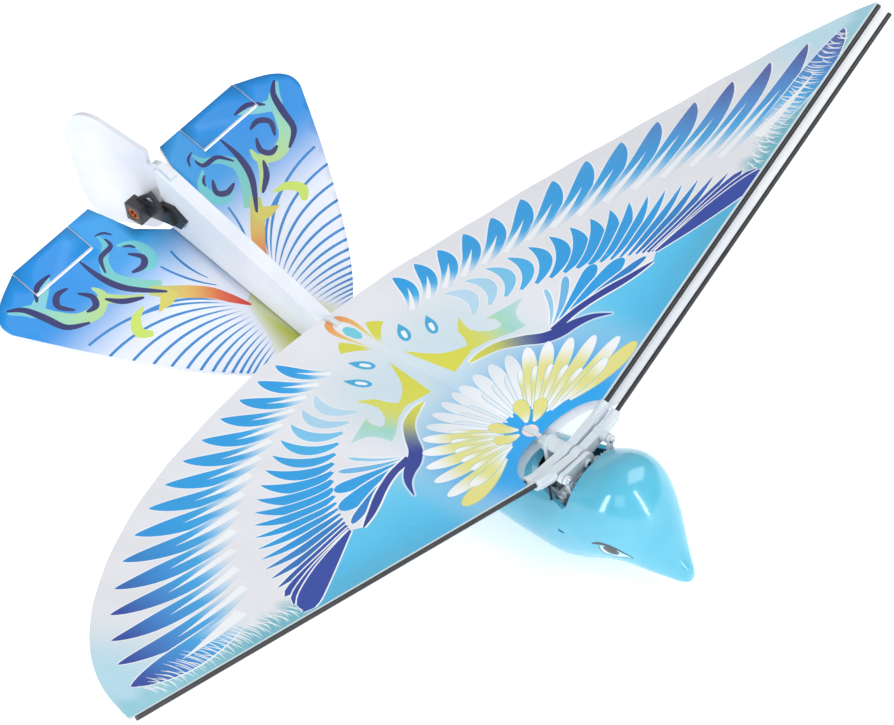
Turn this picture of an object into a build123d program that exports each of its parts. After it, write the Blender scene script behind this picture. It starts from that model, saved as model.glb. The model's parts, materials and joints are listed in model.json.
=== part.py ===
from build123d import *
from math import atan2, cos, degrees, hypot, pi, radians, sin, sqrt, tan
import os

# Electric flapping-wing bird, in millimetres.
# +X is forward (the beak), +Y is the left wing, +Z is up.
# The origin is on the flat under the belly, below the axle that both wing levers turn on.

os.makedirs("parts", exist_ok=True)

# ---------------------------------------------------------------- driving dimensions
half_span = 170.0            # centre line to the end of a wing rod
dihedral = 14.0              # slope of a closed wing, degrees
sweep_angle = 4.05           # how far the rods lean back, degrees
pivot_z = 34.0               # height of the lever axle
rod_r = 0.75
rod_root_y = 12.0            # inner end of a rod, inside its socket
rod_front_x = 2.0            # rods on the front lever
rod_rear_x = -2.0            # rods on the rear lever
lower_drop = 1.5             # the lower wing's rods lie this far under the upper wing's
slack = 0.02                 # radial clearance of a pressed fit
running = 0.05               # radial clearance of a turning fit

film_t = 0.2
film_back_x = -99.0          # back edge of the upper film on the centre line
film_half_width = 172.5      # where the film's back edge would meet the rod line
film_twist = {1: 0.0040, -1: 0.0010}   # how fast each side's film droops with span and chord, per mm
twist_from = -3.5            # the film is flat across the rods, ahead of this line
film_inner_y = 1.6           # half the gap between the left and right films
lower_film_scale = 0.91      # chord of the lower film over the upper one
notch_x = 13.0               # the cut-out round the gearbox, an ellipse
notch_y = 19.8

lever_t = 2.8                # levers, along X
front_lever_x = 0.4          # back face of the front lever
rear_lever_x = -3.2          # back face of the rear lever
lever_depth = 3.2            # levers, seen from the front
socket_r = 1.7
socket_end_y = 17.8
shaft_r = 0.75               # lever axle
tube_r = 2.0                 # the rear lever's tube, which the front lever turns on
rocker_x = 3.9               # back face of the rocker on that tube
rocker_t = 1.5
pin_y = 10.0                 # connecting rod pins on the levers
pin_z = 36.0
pin_r = 0.6
con_rod_x = 5.7              # back face of the connecting rods
con_rod_t = 1.2

gear_module = 0.5
crank_teeth = 28
crank_y = 7.0                # crank gear centres, at both signs
crank_z = 21.5
crank_gear_x = 2.8
crank_gear_t = 1.8
crank_gear_room = 7.9        # radius of the relief round each crank gear
crank_throw = 1.943          # crank pin radius: half the travel of a lever's pin
idler_teeth = 10             # small side of the reduction gear
wheel_module = 0.4
wheel_teeth = 36             # large side of the reduction gear
wheel_x = -6.8
wheel_t = 1.4
pinion_teeth = 9
front_plate_x = 0.6
plate_t = 1.4
rear_plate_x = -9.4
motor_r = 4.0
motor_length = 18.0

wall = 1.2                   # pod shell
socket_x = -34.0             # charging socket in the belly
switch_x = -20.0             # on/off switch in the belly
seam_z = 8.7                 # joint line of the pod below the pivot
seam_slope = -0.083          # it falls towards the beak
saddle_front_x = 8.2         # the saddle in the pod's back that the levers swing in
saddle_rear_x = -12.0
saddle_z = 27.6

stick_t = 5.0                # foam keel
socket_z = 11.3              # socket in the pod's tail that the keel is glued into
socket_depth = 11.4
tail_slope = 0.36            # pitch of the tail plates, rise over run
tail_z = 48.9                # tail plates' height at the back corner
tail_back_x = -181.0
tail_t = 1.6
tab_fold_x = -171.5
tab_inner_y = 26.0
tab_outer_y = 50.5
tab_gap = 0.35
hinge_x = -163.6             # rudder hinge line
fin_t = 1.6
hinge_wire_r = 0.4
sleeve_r = 1.2


def write(part, label):
    part.label = label
    export_step(part, f"parts/{label}.step")


# ---------------------------------------------------------------- pod
# Stations along the pod: x, top, bottom and half width.
pod_stations = [
    (-58.0, 18.4, 2.6, 5.4),
    (-50.0, 21.4, 1.2, 8.2),
    (-40.0, 24.2, -0.4, 10.9),
    (-28.0, 26.8, -0.9, 13.0),
    (-15.0, 28.8, -1.0, 14.6),
    (-4.0, 31.4, -0.9, 15.7),
    (5.0, 34.6, -0.2, 16.4),
    (12.0, 38.6, 2.4, 16.3),
    (19.0, 41.6, 6.0, 15.4),
    (25.0, 40.6, 7.6, 13.6),
    (30.0, 35.6, 6.9, 11.0),
    (34.0, 28.0, 5.9, 8.2),
    (37.5, 19.6, 5.0, 5.3),
    (40.2, 13.4, 4.7, 3.3),
    (41.9, 10.6, 5.3, 1.9),
    (42.5, 9.0, 6.5, 0.9),
]
pod_roundness = 2.25         # exponent of the superellipse sections
beak_x = 28.0                # ahead of this the nose is all one with the upper shell


def superellipse(top, bottom, half_width):
    """Twenty points round a section, starting at the left side."""
    points = []
    for k in range(20):
        a = 2 * pi * k / 20
        power = 2 / pod_roundness
        y = abs(cos(a)) ** power * (1 if cos(a) >= 0 else -1)
        z = abs(sin(a)) ** power * (1 if sin(a) >= 0 else -1)
        points.append((half_width * y, (top + bottom) / 2 + (top - bottom) / 2 * z))
    return points


def pod_body(stations, inset):
    with BuildPart() as body:
        for x, top, bottom, half_width in stations:
            with BuildSketch(Plane.YZ.offset(x)):
                with BuildLine():
                    Spline(*superellipse(top - inset, bottom + inset, half_width - inset), periodic=True)
                make_face()
        loft()
    return body.part


pod_outer = pod_body(pod_stations, 0)
with BuildPart() as pod_cavity:
    add(pod_body([s for s in pod_stations if -57 < s[0] < 38], wall))
    split(bisect_by=Plane.XY.offset(wall), keep=Keep.TOP)
    # the beak is solid
    split(bisect_by=Plane.YZ.offset(29.5), keep=Keep.BOTTOM)
pod_screws_at = [(14.0, 9.0, 8.2), (14.0, -9.0, 8.2), (-45.0, 0.0, 1.8)]     # x, y, seat of the screw head
post_r = 2.0

with BuildPart() as pod_shell:
    add(pod_outer)
    add(pod_cavity.part, mode=Mode.SUBTRACT)
    # screw posts, trimmed to the pod's outside
    with BuildPart(mode=Mode.PRIVATE) as posts:
        for x, y, seat in pod_screws_at:
            with Locations((x, y, 20)):
                Cylinder(post_r, 60)
        add(pod_outer, mode=Mode.INTERSECT)
    add(posts.part)
    # belly flat that the bird stands on
    with BuildSketch(Plane.XY):
        Rectangle(160, 60)
    extrude(amount=-5, mode=Mode.SUBTRACT)
    # saddle that the levers swing in
    with BuildSketch(Plane.XZ.offset(-30)):
        with BuildLine():
            Polyline((saddle_rear_x, 60), (saddle_rear_x, saddle_z + 1.5), (saddle_rear_x + 3, saddle_z),
                     (saddle_front_x - 1.5, saddle_z), (saddle_front_x, saddle_z + 1.5),
                     (saddle_front_x, 60), close=True)
        make_face()
    extrude(amount=60, mode=Mode.SUBTRACT)
    # socket for the keel in the pod's tail
    with Locations((-54, 0, socket_z)):
        Box(12, stick_t + 0.1, socket_depth, mode=Mode.SUBTRACT)
    for x, y, seat in pod_screws_at:
        with Locations((x, y, seat / 2)):
            Cylinder(1.4, seat, mode=Mode.SUBTRACT)
        with Locations((x, y, 6)):
            Cylinder(0.7 + slack, 24, mode=Mode.SUBTRACT)

seam_plane = Plane(origin=(0, 0, seam_z), z_dir=(-seam_slope, 0, 1))
with BuildPart() as pod_upper:
    add(pod_shell.part)
    split(bisect_by=seam_plane, keep=Keep.TOP)
    # the beak stays whole, below the seam too
    with BuildPart(mode=Mode.PRIVATE) as beak:
        add(pod_shell.part)
        split(bisect_by=seam_plane, keep=Keep.BOTTOM)
        split(bisect_by=Plane.YZ.offset(beak_x), keep=Keep.TOP)
    add(beak.part)
    # room for the crank gears' teeth
    for side in (-1, 1):
        with BuildSketch(Plane.YZ.offset(crank_gear_x - 0.6)):
            with Locations((side * crank_y, crank_z)):
                Circle(crank_gear_room)
        extrude(amount=crank_gear_t + 1.2, mode=Mode.SUBTRACT)
    # snap recess in each cheek
    with Locations((7.2, 16.4, 20.0), (7.2, -16.4, 20.0)):
        Box(2.2, 1.2, 0.9, mode=Mode.SUBTRACT)

with BuildPart() as pod_lower:
    add(pod_shell.part)
    split(bisect_by=seam_plane.offset(-0.05), keep=Keep.BOTTOM)
    split(bisect_by=Plane.YZ.offset(beak_x), keep=Keep.BOTTOM)
    # feet under the gearbox plates
    for x in (front_plate_x + plate_t / 2, rear_plate_x + plate_t / 2):
        with Locations((x, 0, 2.6)):
            Box(2.4, 14, 4.4)
    # holes for the charging socket and the switch
    with Locations((socket_x, 0, 0)):
        Box(5.8, 2.2, 8, mode=Mode.SUBTRACT)
    with Locations((switch_x, 0, 0)):
        Box(6.0, 2.6, 8, mode=Mode.SUBTRACT)
write(pod_lower.part, "pod_lower")

# ---------------------------------------------------------------- gears


def gear_outline(y, z, teeth, module, phase):
    """Corner points of a spur gear with straight flanks and running backlash."""
    root = module * (teeth / 2 - 1.2)
    tip = module * (teeth / 2 + 0.85)
    pitch = 2 * pi / teeth
    points = []
    for k in range(teeth):
        centre = phase + k * pitch
        for radius, share in ((root, -0.34), (tip, -0.11), (tip, 0.11), (root, 0.34)):
            a = centre + share * pitch
            points.append((y + radius * cos(a), z + radius * sin(a)))
    return points


def gear_solid(x, y, z, teeth, module, thickness, phase):
    with BuildPart() as gear:
        with BuildSketch(Plane.YZ.offset(x)):
            with BuildLine():
                Polyline(*gear_outline(y, z, teeth, module, phase), close=True)
            make_face()
        extrude(amount=thickness)
    return gear.part


def rod_x(x, y, z, radius, x0, x1):
    """A round bar along X."""
    with BuildPart() as bar:
        with BuildSketch(Plane.YZ.offset(x0)):
            with Locations((y, z)):
                Circle(radius)
        extrude(amount=x1 - x0)
    return bar.part


crank_pitch = 2 * pi / crank_teeth
mesh_angle = pi + 5 * crank_pitch                   # a tooth of the left crank gear points this way
idler_distance = gear_module * (crank_teeth + idler_teeth) / 2
idler_y = crank_y + idler_distance * cos(mesh_angle)
idler_z = crank_z + idler_distance * sin(mesh_angle)
idler_phase = mesh_angle - pi + pi / idler_teeth    # a gap faces that tooth
motor_y = idler_y - wheel_module * (wheel_teeth + pinion_teeth) / 2
motor_z = idler_z
axle_r = 0.7

for side, label in ((1, "crank_gear_left"), (-1, "crank_gear_right")):
    phase = pi if side > 0 else pi / crank_teeth
    with BuildPart() as crank_gear:
        add(gear_solid(crank_gear_x, side * crank_y, crank_z, crank_teeth, gear_module, crank_gear_t, phase))
        # hub, web holes and the crank pin
        with BuildSketch(Plane.YZ.offset(crank_gear_x + crank_gear_t)):
            with Locations((side * crank_y, crank_z)):
                Circle(1.4)
        extrude(amount=0.5)
        with BuildSketch(Plane.YZ.offset(crank_gear_x + crank_gear_t)):
            with Locations((side * crank_y, crank_z + crank_throw)):
                Circle(0.55)
        extrude(amount=0.7)
        with BuildSketch(Plane.YZ.offset(crank_gear_x - 1)):
            with Locations((side * crank_y, crank_z)):
                with PolarLocations(4.3, 5, start_angle=90 + 36):
                    Circle(1.0)
        extrude(amount=5, mode=Mode.SUBTRACT)
        with BuildSketch(Plane.YZ.offset(crank_gear_x - 1)):
            with Locations((side * crank_y, crank_z)):
                Circle(axle_r + running)
        extrude(amount=5, mode=Mode.SUBTRACT)
    write(crank_gear.part, label)

with BuildPart() as reduction_gear:
    add(gear_solid(wheel_x, idler_y, idler_z, wheel_teeth, wheel_module, wheel_t, pi))
    add(gear_solid(wheel_x + wheel_t, idler_y, idler_z, idler_teeth, gear_module,
                   crank_gear_x + crank_gear_t - wheel_x - wheel_t, idler_phase))
    with BuildSketch(Plane.YZ.offset(wheel_x - 1)):
        with Locations((idler_y, idler_z)):
            Circle(axle_r + running)
    extrude(amount=20, mode=Mode.SUBTRACT)
write(reduction_gear.part, "reduction_gear")

with BuildPart() as motor_pinion:
    add(gear_solid(wheel_x - 0.3, motor_y, motor_z, pinion_teeth, wheel_module, wheel_t + 0.9, pi / pinion_teeth))
    with BuildSketch(Plane.YZ.offset(wheel_x - 1)):
        with Locations((motor_y, motor_z)):
            Circle(0.5 + slack)
    extrude(amount=5, mode=Mode.SUBTRACT)
write(motor_pinion.part, "motor_pinion")
write(rod_x(0, motor_y, motor_z, 0.5, rear_plate_x - motor_length - 0.6, wheel_x + wheel_t + 0.8), "motor_shaft")

# ---------------------------------------------------------------- motor
with BuildPart() as motor_can:
    with BuildSketch(Plane.YZ.offset(rear_plate_x - motor_length)):
        with Locations((motor_y, motor_z)):
            Circle(motor_r)
    extrude(amount=motor_length)
    fillet(motor_can.edges().filter_by(GeomType.CIRCLE).sort_by(Axis.X)[-1], 0.6)
    with BuildSketch(Plane.YZ.offset(rear_plate_x - motor_length)):
        with Locations((motor_y, motor_z)):
            Circle(0.5 + running)
    extrude(amount=motor_length, mode=Mode.SUBTRACT)
write(motor_can.part, "motor_can")

with BuildPart() as motor_end_cap:
    with BuildSketch(Plane.YZ.offset(rear_plate_x - motor_length - 1.8)):
        with Locations((motor_y, motor_z)):
            Circle(motor_r - 0.4)
    extrude(amount=1.8)
    with BuildSketch(Plane.YZ.offset(rear_plate_x - motor_length - 1.0)):
        with Locations((motor_y, motor_z)):
            Circle(0.5 + running)
    extrude(amount=1.0, mode=Mode.SUBTRACT)
write(motor_end_cap.part, "motor_end_cap")

# ---------------------------------------------------------------- gearbox
spacers = [(8.2, 24.2), (-8.2, 24.2), (11.0, 8.6), (-10.6, 8.6)]
spacer_r = 1.1


with BuildSketch() as plate_profile:
    with BuildLine():
        FilletPolyline((-8.5, 4.8), (8.5, 4.8), (12.4, 7.6), (12.4, 14.0), (9.9, 25.4), (8.4, 26.2),
                       (-8.4, 26.2), (-9.9, 25.4), (-12.2, 14.0), (-12.2, 7.6), radius=0.8, close=True)
    make_face()


with BuildPart() as gearbox_front_plate:
    with BuildSketch(Plane.YZ.offset(front_plate_x)):
        add(plate_profile.sketch)
    extrude(amount=plate_t)
    with BuildSketch(Plane.YZ.offset(front_plate_x)):
        with Locations((idler_y, idler_z)):
            Circle(gear_module * (idler_teeth / 2 + 0.85) + 0.4)
        with Locations((crank_y, crank_z), (-crank_y, crank_z)):
            Circle(axle_r + slack)
        with Locations(*spacers):
            Circle(0.5)
        with Locations((-6.5, 12.5)):
            Circle(3.6)
    extrude(amount=plate_t, mode=Mode.SUBTRACT)
write(gearbox_front_plate.part, "gearbox_front_plate")

with BuildPart() as gearbox_rear_plate:
    with BuildSketch(Plane.YZ.offset(rear_plate_x)):
        add(plate_profile.sketch)
        with Locations((0, 30)):
            Rectangle(5.2, 10)
        with Locations((0, pivot_z)):
            Circle(2.6)
    extrude(amount=plate_t)
    # boss that carries the lever axle, spacers towards the front plate
    with BuildSketch(Plane.YZ.offset(rear_plate_x + plate_t)):
        with Locations((0, pivot_z)):
            Circle(2.3)
    extrude(amount=rear_lever_x - 0.5 - rear_plate_x - plate_t)
    with BuildSketch(Plane.YZ.offset(rear_plate_x + plate_t)):
        with Locations(*spacers):
            Circle(spacer_r)
    extrude(amount=front_plate_x - rear_plate_x - plate_t)
    # arm that reaches back under the notch of the film
    with BuildSketch(Plane.XZ.offset(-1.5)):
        with BuildLine():
            Polyline((rear_plate_x, 35.4), (rear_plate_x, 30.6), (-12.6, 31.6), (-12.6, 33.8), close=True)
        make_face()
    extrude(amount=3.0)
    # blade between the left and right films
    with BuildSketch(Plane.XZ.offset(-0.8)):
        with BuildLine():
            Polyline((-12.6, 31.6), (-12.6, 34.6), (-19.0, 34.6), (-19.0, 32.6), close=True)
        make_face()
    extrude(amount=1.6)
    with BuildSketch(Plane.YZ.offset(rear_plate_x)):
        with Locations((0, pivot_z)):
            Circle(shaft_r + slack)
        with Locations((idler_y, idler_z)):
            Circle(axle_r + slack)
        with Locations((motor_y, motor_z)):
            Circle(1.6)
    extrude(amount=plate_t, mode=Mode.SUBTRACT)
    with BuildSketch(Plane.YZ.offset(rear_plate_x)):
        with Locations((0, pivot_z)):
            Circle(shaft_r + slack)
        with Locations(*spacers):
            Circle(0.5)
    extrude(amount=12, mode=Mode.SUBTRACT)
write(gearbox_rear_plate.part, "gearbox_rear_plate")

write(rod_x(0, 0, pivot_z, shaft_r, rear_plate_x, rocker_x + rocker_t + 0.9), "lever_axle")
with BuildPart() as axle_cap:
    with BuildSketch(Plane.YZ.offset(rocker_x + rocker_t + 0.15)):
        with Locations((0, pivot_z)):
            Circle(1.5)
            Circle(shaft_r + slack, mode=Mode.SUBTRACT)
    extrude(amount=0.75)
write(axle_cap.part, "axle_cap")

with BuildPart() as crank_axles:
    for side in (1, -1):
        add(rod_x(0, side * crank_y, crank_z, axle_r, front_plate_x, crank_gear_x + crank_gear_t + 0.65))
write(crank_axles.part, "crank_axles")
write(rod_x(0, idler_y, idler_z, axle_r, rear_plate_x, crank_gear_x + crank_gear_t + 0.3), "reduction_axle")

with BuildPart() as gearbox_screws:
    for y, z in spacers:
        add(rod_x(0, y, z, 1.5, rear_plate_x - 0.9, rear_plate_x))
        add(rod_x(0, y, z, 0.5 - slack, rear_plate_x, rear_plate_x + 6))
write(gearbox_screws.part, "gearbox_screws")

# ---------------------------------------------------------------- levers
slope = tan(radians(dihedral))


def lever_arm(side, x, drop):
    """One arm with the socket at its end. drop lowers the arm of the lower wing."""
    end_z = pivot_z + socket_end_y * slope - drop
    start_z = pivot_z
    d = lever_depth / 2
    with BuildPart() as arm:
        with BuildSketch(Plane.YZ.offset(x)):
            with BuildLine():
                Polyline((0, start_z - 2.4), (side * 13.0, pivot_z + 13.0 * slope - drop - d),
                         (side * socket_end_y, end_z - 1.2), (side * socket_end_y, end_z + 1.2),
                         (side * 13.0, pivot_z + 13.0 * slope - drop + d), (0, start_z + 2.4), close=True)
            make_face()
        extrude(amount=lever_t)
    return arm.part


def wing_line(side, x, drop):
    """Root and tip of a rod's centre line."""
    shift = tan(radians(sweep_angle))
    root = Vector(x, side * rod_root_y, pivot_z + rod_root_y * slope - drop)
    tip = Vector(x - shift * (half_span - rod_root_y), side * half_span, pivot_z + half_span * slope - drop)
    return root, tip


def along(root, tip, radius, start, end):
    """A round bar on the line from root to tip, between two distances from the root."""
    direction = (tip - root).normalized()
    with BuildPart() as bar:
        with BuildSketch(Plane(origin=root + direction * start, z_dir=direction)):
            Circle(radius)
        extrude(amount=end - start)
    return bar.part


# (label, side, lever centre, drop): the rear lever lifts the left upper and right lower wing.
front_centre = front_lever_x + lever_t / 2
rear_centre = rear_lever_x + lever_t / 2
rods = [
    ("rod_left_upper", 1, rod_rear_x, 0.0),
    ("rod_right_lower", -1, rod_rear_x, lower_drop),
    ("rod_right_upper", -1, rod_front_x, 0.0),
    ("rod_left_lower", 1, rod_front_x, lower_drop),
]
for label, side, x, drop in rods:
    root, tip = wing_line(side, x, drop)
    write(along(root, tip, rod_r, 0, (tip - root).length), label)

with BuildPart() as rear_lever:
    for side, drop in ((1, 0.0), (-1, lower_drop)):
        root, tip = wing_line(side, rod_rear_x, drop)
        add(lever_arm(side, rear_lever_x, drop))
        add(along(root, tip, socket_r, -1.0, socket_end_y - rod_root_y + 1.0))
    with BuildSketch(Plane.YZ.offset(rear_lever_x)):
        with Locations((0, pivot_z)):
            Circle(3.2)
    extrude(amount=lever_t)
    with BuildSketch(Plane.YZ.offset(rear_lever_x)):
        with Locations((0, pivot_z)):
            Circle(tube_r)
    extrude(amount=rocker_x + rocker_t - rear_lever_x)
    with BuildSketch(Plane.YZ.offset(rear_lever_x)):
        with Locations((0, pivot_z)):
            Circle(shaft_r + running)
    extrude(amount=20, mode=Mode.SUBTRACT)
    for side, drop in ((1, 0.0), (-1, lower_drop)):
        root, tip = wing_line(side, rod_rear_x, drop)
        add(along(root, tip, rod_r + slack, 0, 12), mode=Mode.SUBTRACT)
write(rear_lever.part, "rear_lever")

with BuildPart() as front_lever:
    for side, drop in ((1, lower_drop), (-1, 0.0)):
        root, tip = wing_line(side, rod_front_x, drop)
        add(lever_arm(side, front_lever_x, drop))
        add(along(root, tip, socket_r, -1.0, socket_end_y - rod_root_y + 1.0))
    with BuildSketch(Plane.YZ.offset(front_lever_x)):
        with Locations((0, pivot_z)):
            Circle(3.4)
    extrude(amount=lever_t)
    # boss that carries the left connecting rod's pin
    with BuildSketch(Plane.YZ.offset(front_lever_x)):
        with Locations((pin_y, pin_z)):
            Circle(1.6)
    extrude(amount=con_rod_x - 0.2 - front_lever_x)
    with BuildSketch(Plane.YZ.offset(front_lever_x)):
        with Locations((0, pivot_z)):
            Circle(tube_r + running)
        with Locations((pin_y, pin_z)):
            Circle(pin_r + slack)
    extrude(amount=20, mode=Mode.SUBTRACT)
    for side, drop in ((1, lower_drop), (-1, 0.0)):
        root, tip = wing_line(side, rod_front_x, drop)
        add(along(root, tip, rod_r + slack, 0, 12), mode=Mode.SUBTRACT)
write(front_lever.part, "front_lever")

with BuildPart() as rear_rocker:
    with BuildSketch(Plane.YZ.offset(rocker_x)):
        with BuildLine():
            Polyline((0.6, pivot_z - 3.0), (-pin_y + 0.3, pin_z - 1.6), (-pin_y - 0.5, pin_z + 1.5),
                     (-0.4, pivot_z + 3.1), close=True)
        make_face()
        with Locations((0, pivot_z)):
            Circle(3.2)
        with Locations((-pin_y, pin_z)):
            Circle(1.7)
        with Locations((0, pivot_z)):
            Circle(tube_r + slack, mode=Mode.SUBTRACT)
        with Locations((-pin_y, pin_z)):
            Circle(pin_r + slack, mode=Mode.SUBTRACT)
    extrude(amount=rocker_t)
write(rear_rocker.part, "rear_rocker")

# ---------------------------------------------------------------- connecting rods
for side, word, pin_start in ((1, "left", front_lever_x), (-1, "right", rocker_x)):
    top = (side * pin_y, pin_z)
    foot = (side * crank_y, crank_z + crank_throw)
    length = hypot(top[0] - foot[0], top[1] - foot[1])
    lean = degrees(atan2(foot[1] - top[1], foot[0] - top[0]))
    middle = ((top[0] + foot[0]) / 2, (top[1] + foot[1]) / 2)
    with BuildPart() as con_rod:
        with BuildSketch(Plane.YZ.offset(con_rod_x)):
            with Locations(Location((middle[0], middle[1], 0), (0, 0, lean))):
                Rectangle(length, 1.7)
            with Locations(top):
                Circle(1.5)
            with Locations(foot):
                Circle(1.35)
            with Locations(top):
                Circle(pin_r + running, mode=Mode.SUBTRACT)
            with Locations(foot):
                Circle(0.65, mode=Mode.SUBTRACT)
        extrude(amount=con_rod_t)
    write(con_rod.part, f"con_rod_{word}")
    with BuildPart() as con_rod_pin:
        add(rod_x(0, top[0], top[1], pin_r, pin_start, con_rod_x + con_rod_t + 0.1))
        with BuildSketch(Plane.YZ.offset(con_rod_x + con_rod_t + 0.1)):
            with Locations(top):
                Circle(1.05)
        extrude(amount=0.5, taper=30)
    write(con_rod_pin.part, f"con_rod_pin_{word}")

# ---------------------------------------------------------------- wing films


def ruled_sheet(side, drop, line_a, line_b):
    """A thin sheet between two curves that follow the span, each given as (x offset, twist)."""
    shift = tan(radians(sweep_angle))
    y1 = film_half_width + 2

    def point(offset, twisted, y):
        px = offset - shift * (y - rod_root_y) if offset > film_back_x else film_back_x - 6
        behind = twist_from - shift * (y - rod_root_y) - px if twisted else 0
        return Vector(px, side * y, pivot_z + y * slope - drop - film_twist[side] * y * behind)

    edges = []
    for offset, twisted in (line_a, line_b):
        a, b, c = (point(offset, twisted, y) for y in (0, y1 / 2, y1))
        edges.append(Edge.make_bezier(a, b * 2 - (a + c) * 0.5, c))
    sheet = Face.make_surface_from_curves(edges[0], edges[1])
    return Solid.extrude(sheet, Vector(0, 0, -film_t))


def film(side, x, drop, scale):
    """The sheet cut to the wing's outline: rod line, elliptical back edge, notch and centre gap."""
    shift = tan(radians(sweep_angle))
    front_root = x - rod_r - 0.2
    tip_x = front_root - shift * (half_span - rod_root_y)
    with BuildPart() as outline:
        with BuildSketch(Plane.XY.offset(-20)):
            Ellipse(-film_back_x * scale, film_half_width)
            with BuildLine():
                Polyline((-150, side * film_inner_y), (front_root + shift * rod_root_y, side * film_inner_y),
                         (tip_x - shift * 3, side * (half_span + 3)), (-150, side * (half_span + 3)), close=True)
            make_face(mode=Mode.INTERSECT)
            Ellipse(notch_x, notch_y, mode=Mode.SUBTRACT)
            # room for the keel
            with Locations((-100, 0)):
                Rectangle(2 * (100 - 79 - 14 * scale), 10 if drop else 7, mode=Mode.SUBTRACT)
        extrude(amount=160)
        with BuildPart(mode=Mode.PRIVATE) as patches:
            add(ruled_sheet(side, drop, (10.0, False), (twist_from, False)))
            add(ruled_sheet(side, drop, (twist_from, False), (film_back_x, True)))
        add(patches.part, mode=Mode.INTERSECT)
    return outline.part


films = [
    ("film_left_upper", 1, rod_rear_x, 0.0, 1.0),
    ("film_right_lower", -1, rod_rear_x, lower_drop, lower_film_scale),
    ("film_right_upper", -1, rod_front_x, 0.0, 1.0),
    ("film_left_lower", 1, rod_front_x, lower_drop, lower_film_scale),
]
for label, side, x, drop, scale in films:
    sheet = film(side, x, drop, scale)
    write(sheet, label)
    print(label, "area", round(sheet.volume / film_t), "mm2")

# ---------------------------------------------------------------- keel and tail


def tail_height(x):
    """Top of the tail plates on the centre line."""
    return tail_z - tail_slope * (x - tail_back_x)


with BuildPart() as keel:
    with BuildSketch(Plane.XZ.offset(-stick_t / 2)):
        with BuildLine():
            Polyline((-50.0, 6.2), (-50.0, 13.4), (-98.5, 34.0), (-161.7, 64.2), (-162.0, tail_height(-162.0)),
                     (-104.0, tail_height(-104.0)), close=True)
        make_face()
    extrude(amount=stick_t)
write(keel.part, "keel")

with BuildPart() as film_clip:
    with BuildSketch(Plane.XZ.offset(-0.8)):
        with BuildLine():
            Polyline((-93.0, 31.68), (-93.0, 35.0), (-98.0, 35.4), (-98.0, 33.8), close=True)
        make_face()
    extrude(amount=1.6)
write(film_clip.part, "film_clip")

tail_outline = [(-99.0, 6.0), (-107.0, 20.0), (-122.0, 34.8), (-145.0, 52.2), (-166.5, 66.2)]
tail_corner = (-175.8, 62.2)
tail_direction = Vector(1, 0, -tail_slope).normalized()
tail_plane = Plane(origin=(tail_back_x, 0, tail_z), x_dir=tail_direction, z_dir=(tail_slope, 0, 1))
tail_stretch = sqrt(1 + tail_slope ** 2)


def on_tail(x, y):
    """Place in the tail's own plane of a point given by its place seen from above."""
    return ((x - tail_back_x) * tail_stretch, y)


for side, word in ((1, "left"), (-1, "right")):
    with BuildPart() as plate:
        with BuildSketch(tail_plane.offset(-tail_t)):
            with BuildLine():
                Spline(*[on_tail(x, side * y) for x, y in tail_outline])
                Spline(on_tail(-166.5, side * 66.2), on_tail(-172.0, side * 66.2), on_tail(*[tail_corner[0],
                       side * tail_corner[1]]), on_tail(tail_back_x, side * 50.5))
                Polyline(on_tail(tail_back_x, side * 50.5), on_tail(tail_back_x, side * 16.5),
                         on_tail(-167.0, side * 11.5), on_tail(-159.5, side * 3.4),
                         on_tail(-159.0, side * 0.1), on_tail(-98.0, side * 0.1), on_tail(-99.0, side * 6.0))
            make_face()
            # room for the trim tab
            with BuildLine():
                Polyline(on_tail(tail_back_x - 5, side * (tab_inner_y - tab_gap)),
                         on_tail(tab_fold_x + 0.95, side * (tab_inner_y - tab_gap)),
                         on_tail(tab_fold_x + 0.95, side * (tab_outer_y + tab_gap)),
                         on_tail(tail_back_x - 5, side * (tab_outer_y + tab_gap)), close=True)
            make_face(mode=Mode.SUBTRACT)
        extrude(amount=tail_t)
    write(plate.part, f"tail_plate_{word}")
    with BuildPart() as tab:
        with BuildSketch(tail_plane.offset(-tail_t)):
            with BuildLine():
                Polyline(on_tail(tail_back_x, side * tab_inner_y), on_tail(tab_fold_x, side * tab_inner_y),
                         on_tail(tab_fold_x, side * tab_outer_y), on_tail(tail_back_x, side * tab_outer_y),
                         close=True)
            make_face()
        extrude(amount=tail_t)
        # round front edge on the fold line
        fold = tail_plane.from_local_coords(Vector((tab_fold_x - tail_back_x) * tail_stretch,
                                                   side * tab_inner_y, -tail_t / 2))
        with BuildSketch(Plane(origin=fold, z_dir=(0, side, 0))):
            Circle(tail_t / 2 - 0.001)
        extrude(amount=tab_outer_y - tab_inner_y)
    write(tab.part, f"trim_tab_{word}")

# ---------------------------------------------------------------- rudder
sleeve_low = 44.0
sleeve_high = 62.8
fin_front_x = -167.2
with BuildPart() as rudder_fin:
    with BuildSketch(Plane.XZ.offset(-fin_t / 2)):
        with BuildLine():
            Polyline((fin_front_x, 36.0), (fin_front_x, sleeve_low), (hinge_x, sleeve_low),
                     (hinge_x, sleeve_high), (fin_front_x, sleeve_high), (fin_front_x, 68.0), (-187.0, 70.8))
            Spline((-187.0, 70.8), (-198.0, 67.0), (-204.6, 56.5), (-203.6, 43.0), (-200.0, 28.0),
                   (-196.5, 24.6), (-190.0, 25.4))
            Polyline((-190.0, 25.4), (-170.0, 33.6), (fin_front_x, 36.0))
        make_face()
    extrude(amount=fin_t)
    with BuildSketch(Plane.XY.offset(sleeve_low)):
        with Locations((hinge_x, 0)):
            Circle(sleeve_r)
    extrude(amount=sleeve_high - sleeve_low)
    with BuildSketch(Plane.XY.offset(sleeve_low)):
        with Locations((hinge_x, 0)):
            Circle(hinge_wire_r + running)
    extrude(amount=sleeve_high - sleeve_low, mode=Mode.SUBTRACT)
write(rudder_fin.part, "rudder_fin")

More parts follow.
